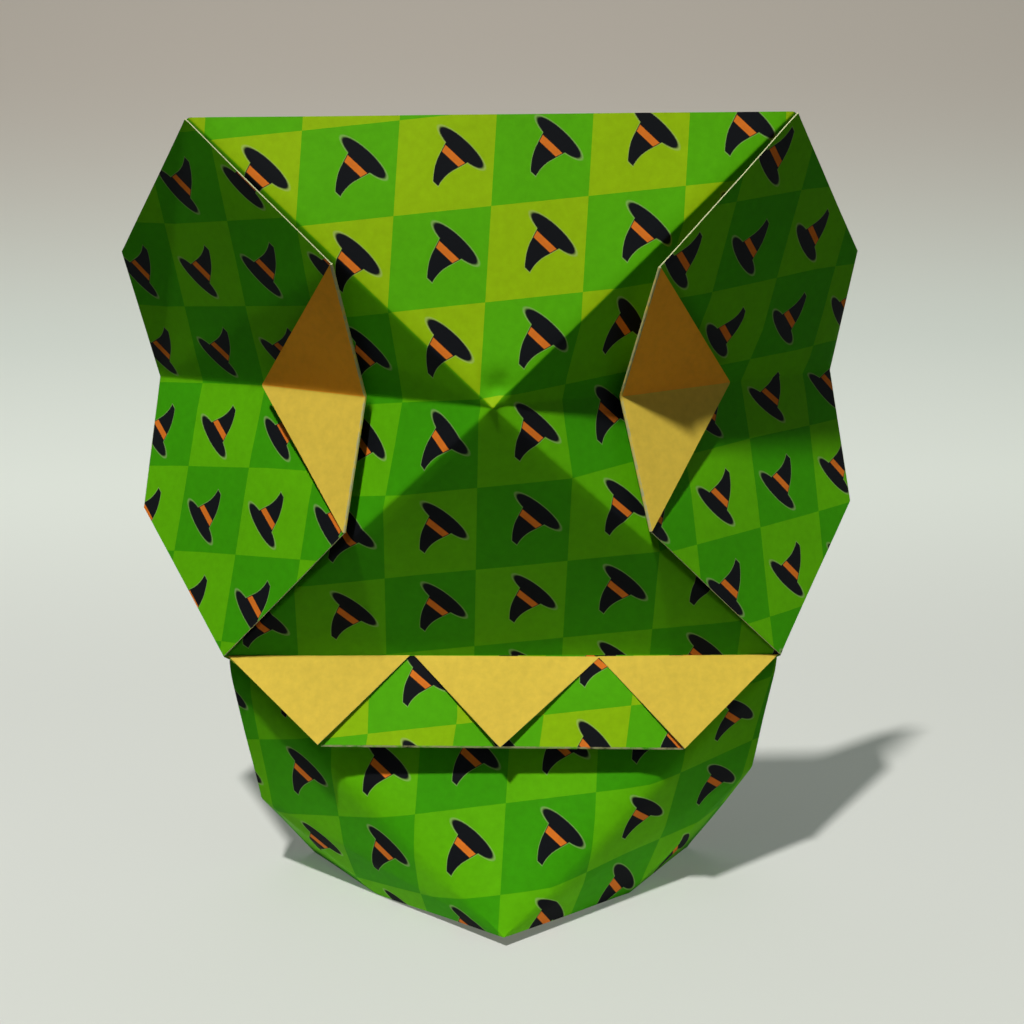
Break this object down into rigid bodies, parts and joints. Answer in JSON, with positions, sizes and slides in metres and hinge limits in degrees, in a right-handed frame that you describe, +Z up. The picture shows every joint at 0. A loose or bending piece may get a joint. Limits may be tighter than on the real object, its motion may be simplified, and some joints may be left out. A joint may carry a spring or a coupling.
{
  "type": "origami skull",
  "caption": "Standing origami skull folded from one printed paper sheet, with folded-over eyes, a pleated mouth with pointed teeth and a spread jaw it stands on.",
  "frame": {"origin": "centre of the part's box, on the surface it stands on", "axes": "+Z up, the face looks along -Y, +X to the right of someone who looks at the face"},
  "size_m": [0.1024, 0.0388, 0.1066],
  "materials": {
    "printed_paper": "matte, two-green check print with a gold reverse side"
  },
  "bodies": {
    "root": {"folded_sheet": "printed_paper"}
  },
  "joints": []
}
